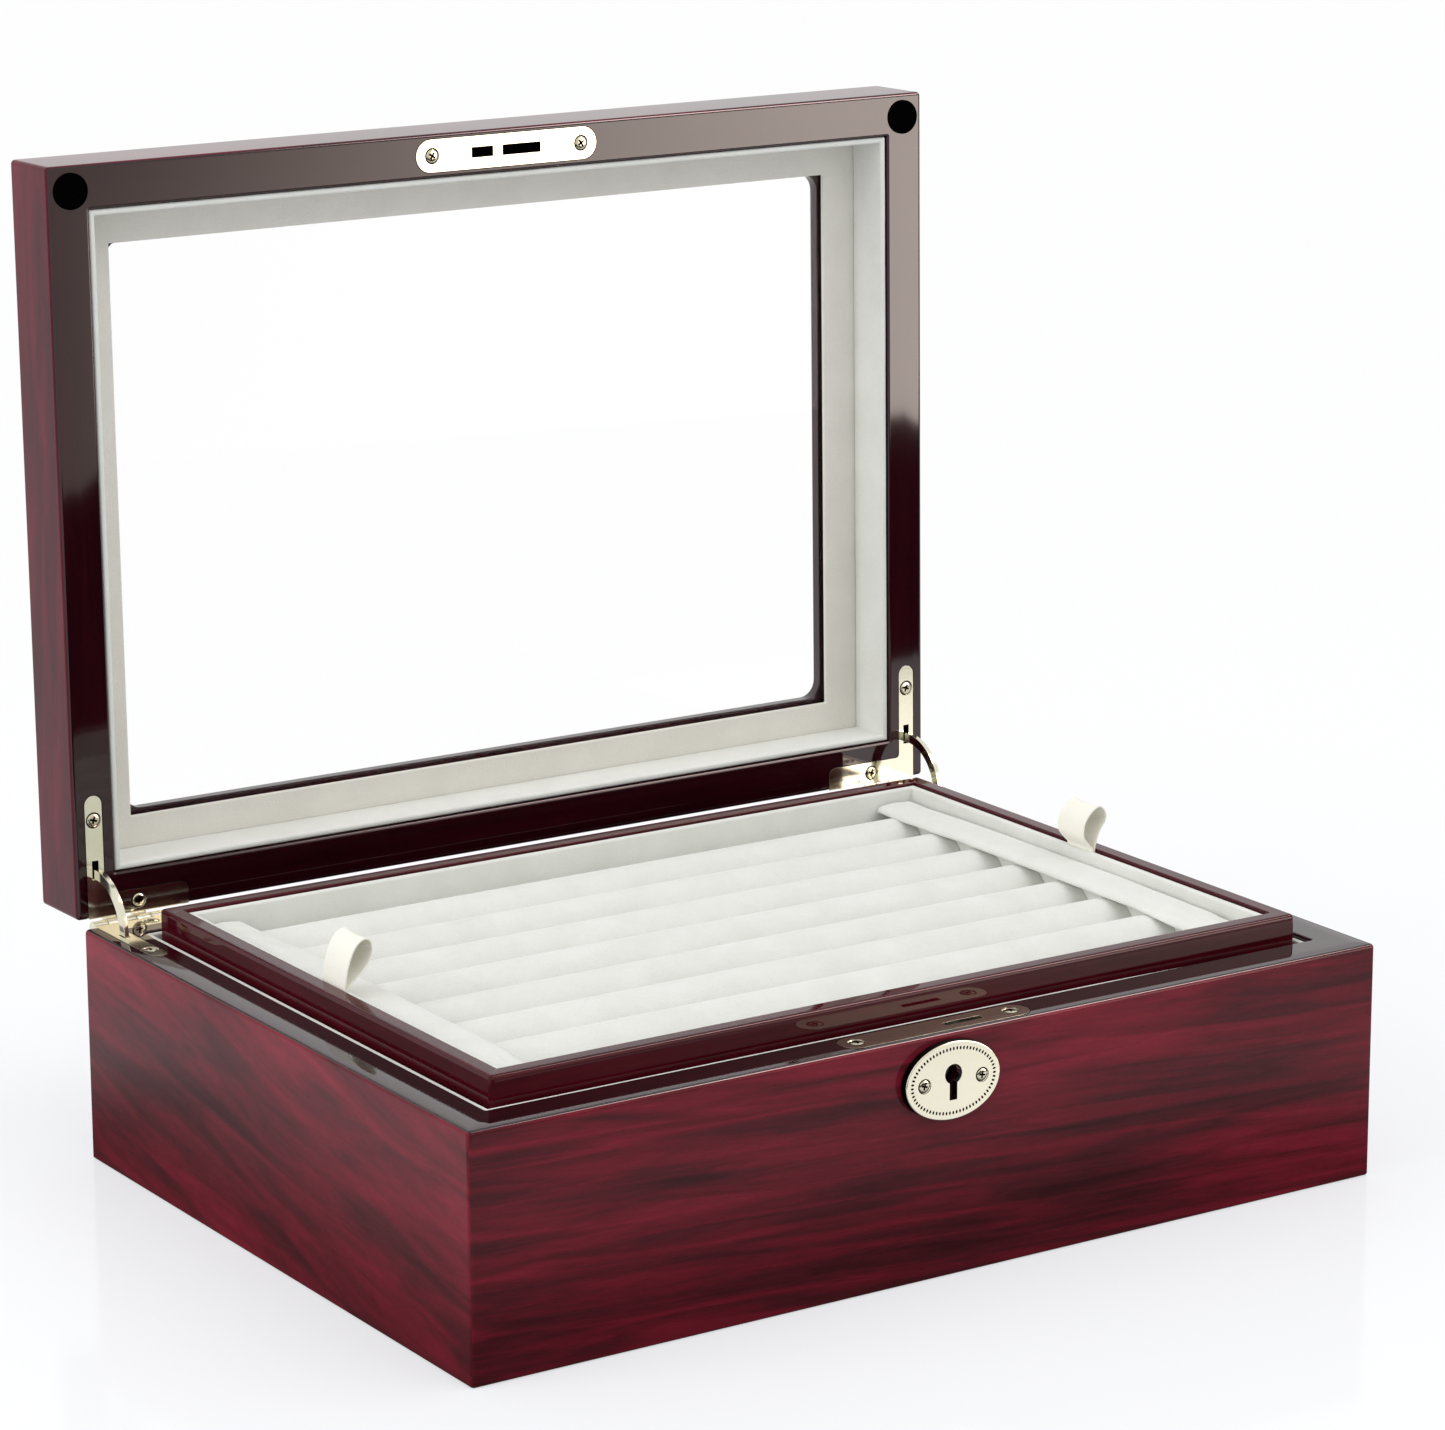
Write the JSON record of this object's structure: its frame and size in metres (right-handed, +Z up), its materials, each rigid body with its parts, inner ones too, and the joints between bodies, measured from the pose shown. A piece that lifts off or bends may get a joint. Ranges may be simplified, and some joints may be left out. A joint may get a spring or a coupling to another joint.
{
  "type": "cufflink box",
  "caption": "Lockable wooden cufflink box with a glazed lid on stay hinges and a lift-out tray of velvet rolls.",
  "frame": {"origin": "centre of the base's underside, on the surface that the box stands on", "axes": "+X to the right seen from the front, along the longest side; +Y towards the hinges at the back; +Z up"},
  "size_m": [0.286, 0.2405, 0.276],
  "materials": {
    "base_front_board": "dark rosewood veneer under gloss lacquer",
    "base_back_board": "dark rosewood veneer under gloss lacquer",
    "base_left_board": "dark rosewood veneer under gloss lacquer",
    "base_right_board": "dark rosewood veneer under gloss lacquer",
    "base_bottom_panel": "bare plywood",
    "base_lining": "ivory velvet",
    "base_floor_pad": "ivory velvet",
    "lock_case": "zinc plated",
    "lock_bolt": "zinc plated",
    "lock_face_plate": "polished, pale gold plate",
    "lock_plate_screw_left": "polished, pale gold plate",
    "lock_plate_screw_right": "polished, pale gold plate",
    "escutcheon": "polished, pale gold plate",
    "escutcheon_screw_left": "polished, pale gold plate",
    "escutcheon_screw_right": "polished, pale gold plate",
    "hinge_left_base_leaf": "polished, pale gold plate",
    "hinge_left_base_side_screw": "polished, pale gold plate",
    "hinge_left_base_back_screw": "polished, pale gold plate",
    "hinge_right_base_leaf": "polished, pale gold plate",
    "hinge_right_base_side_screw": "polished, pale gold plate",
    "hinge_right_base_back_screw": "polished, pale gold plate",
    "lid_front_rail": "dark rosewood veneer under gloss lacquer",
    "lid_back_rail": "dark rosewood veneer under gloss lacquer",
    "lid_left_rail": "dark rosewood veneer under gloss lacquer",
    "lid_right_rail": "dark rosewood veneer under gloss lacquer",
    "lid_glass": "clear, polished",
    "lid_window_frame": "ivory velvet over board",
    "lid_lining": "ivory velvet over board",
    "strike_plate": "polished, pale gold plate",
    "strike_screw_left": "polished, pale gold plate",
    "strike_screw_right": "polished, pale gold plate",
    "bumper_left": "matt black",
    "bumper_right": "matt black",
    "hinge_left_lid_leaf": "polished, pale gold plate",
    "hinge_left_lid_side_screw": "polished, pale gold plate",
    "hinge_left_lid_back_screw": "polished, pale gold plate",
    "hinge_right_lid_leaf": "polished, pale gold plate",
    "hinge_right_lid_side_screw": "polished, pale gold plate",
    "hinge_right_lid_back_screw": "polished, pale gold plate",
    "stay_left": "polished, pale gold plate",
    "stay_right": "polished, pale gold plate",
    "tray_front_wall": "dark rosewood stain under gloss lacquer",
    "tray_back_wall": "dark rosewood stain under gloss lacquer",
    "tray_left_wall": "dark rosewood stain under gloss lacquer",
    "tray_right_wall": "dark rosewood stain under gloss lacquer",
    "tray_floor": "bare plywood",
    "tray_lining": "ivory velvet over board",
    "bolster_left": "ivory velvet over foam",
    "bolster_right": "ivory velvet over foam",
    "roll_1": "ivory velvet over foam",
    "roll_2": "ivory velvet over foam",
    "roll_3": "ivory velvet over foam",
    "roll_4": "ivory velvet over foam",
    "roll_5": "ivory velvet over foam",
    "roll_6": "ivory velvet over foam",
    "roll_7": "ivory velvet over foam",
    "roll_8": "ivory velvet over foam",
    "pull_loop_left": "cream satin ribbon",
    "pull_loop_right": "cream satin ribbon"
  },
  "bodies": {
    "base": {"base_front_board": "base_front_board", "base_back_board": "base_back_board", "base_left_board": "base_left_board", "base_right_board": "base_right_board", "base_bottom_panel": "base_bottom_panel", "base_lining": "base_lining", "base_floor_pad": "base_floor_pad", "lock_case": "lock_case", "lock_face_plate": "lock_face_plate", "lock_plate_screw_left": "lock_plate_screw_left", "lock_plate_screw_right": "lock_plate_screw_right", "escutcheon": "escutcheon", "escutcheon_screw_left": "escutcheon_screw_left", "escutcheon_screw_right": "escutcheon_screw_right", "hinge_left_base_leaf": "hinge_left_base_leaf", "hinge_left_base_side_screw": "hinge_left_base_side_screw", "hinge_left_base_back_screw": "hinge_left_base_back_screw", "hinge_right_base_leaf": "hinge_right_base_leaf", "hinge_right_base_side_screw": "hinge_right_base_side_screw", "hinge_right_base_back_screw": "hinge_right_base_back_screw"},
    "lid": {"lid_front_rail": "lid_front_rail", "lid_back_rail": "lid_back_rail", "lid_left_rail": "lid_left_rail", "lid_right_rail": "lid_right_rail", "lid_glass": "lid_glass", "lid_window_frame": "lid_window_frame", "lid_lining": "lid_lining", "strike_plate": "strike_plate", "strike_screw_left": "strike_screw_left", "strike_screw_right": "strike_screw_right", "bumper_left": "bumper_left", "bumper_right": "bumper_right", "hinge_left_lid_leaf": "hinge_left_lid_leaf", "hinge_left_lid_side_screw": "hinge_left_lid_side_screw", "hinge_left_lid_back_screw": "hinge_left_lid_back_screw", "hinge_right_lid_leaf": "hinge_right_lid_leaf", "hinge_right_lid_side_screw": "hinge_right_lid_side_screw", "hinge_right_lid_back_screw": "hinge_right_lid_back_screw"},
    "left_stay": {"stay_left": "stay_left"},
    "right_stay": {"stay_right": "stay_right"},
    "bolt": {"lock_bolt": "lock_bolt"},
    "tray": {"tray_front_wall": "tray_front_wall", "tray_back_wall": "tray_back_wall", "tray_left_wall": "tray_left_wall", "tray_right_wall": "tray_right_wall", "tray_floor": "tray_floor", "tray_lining": "tray_lining", "bolster_left": "bolster_left", "bolster_right": "bolster_right", "roll_1": "roll_1", "roll_2": "roll_2", "roll_3": "roll_3", "roll_4": "roll_4", "roll_5": "roll_5", "roll_6": "roll_6", "roll_7": "roll_7", "roll_8": "roll_8", "pull_loop_left": "pull_loop_left", "pull_loop_right": "pull_loop_right"}
  },
  "joints": [
    {"name": "lid_hinge", "type": "hinge", "parent": "base", "child": "lid", "pos_m": [0, 0.10655, 0.0652], "axis": [-1, 0, 0], "range_deg": [-90.5, 0], "deforming": ["pull_loop_left", "pull_loop_right"]},
    {"name": "left_stay_turn", "type": "hinge", "parent": "base", "child": "left_stay", "pos_m": [-0.1369, 0.10655, 0.0652], "axis": [-1, 0, 0], "range_deg": [-45.5, 0]},
    {"name": "right_stay_turn", "type": "hinge", "parent": "base", "child": "right_stay", "pos_m": [0.1369, 0.10655, 0.0652], "axis": [-1, 0, 0], "range_deg": [-45.5, 0]},
    {"name": "tray_lift", "type": "slide", "parent": "base", "child": "tray", "axis": [0, 0, 1], "range_m": [0, 0.09]},
    {"name": "bolt_turn", "type": "hinge", "parent": "base", "child": "bolt", "pos_m": [-0.0066, -0.09825, 0.0514], "axis": [0, -1, 0], "range_deg": [0, 42]}
  ],
  "couplings": [
    {"joint": "left_stay_turn", "follows": "lid_hinge", "ratio": 0.5},
    {"joint": "right_stay_turn", "follows": "lid_hinge", "ratio": 0.5}
  ]
}
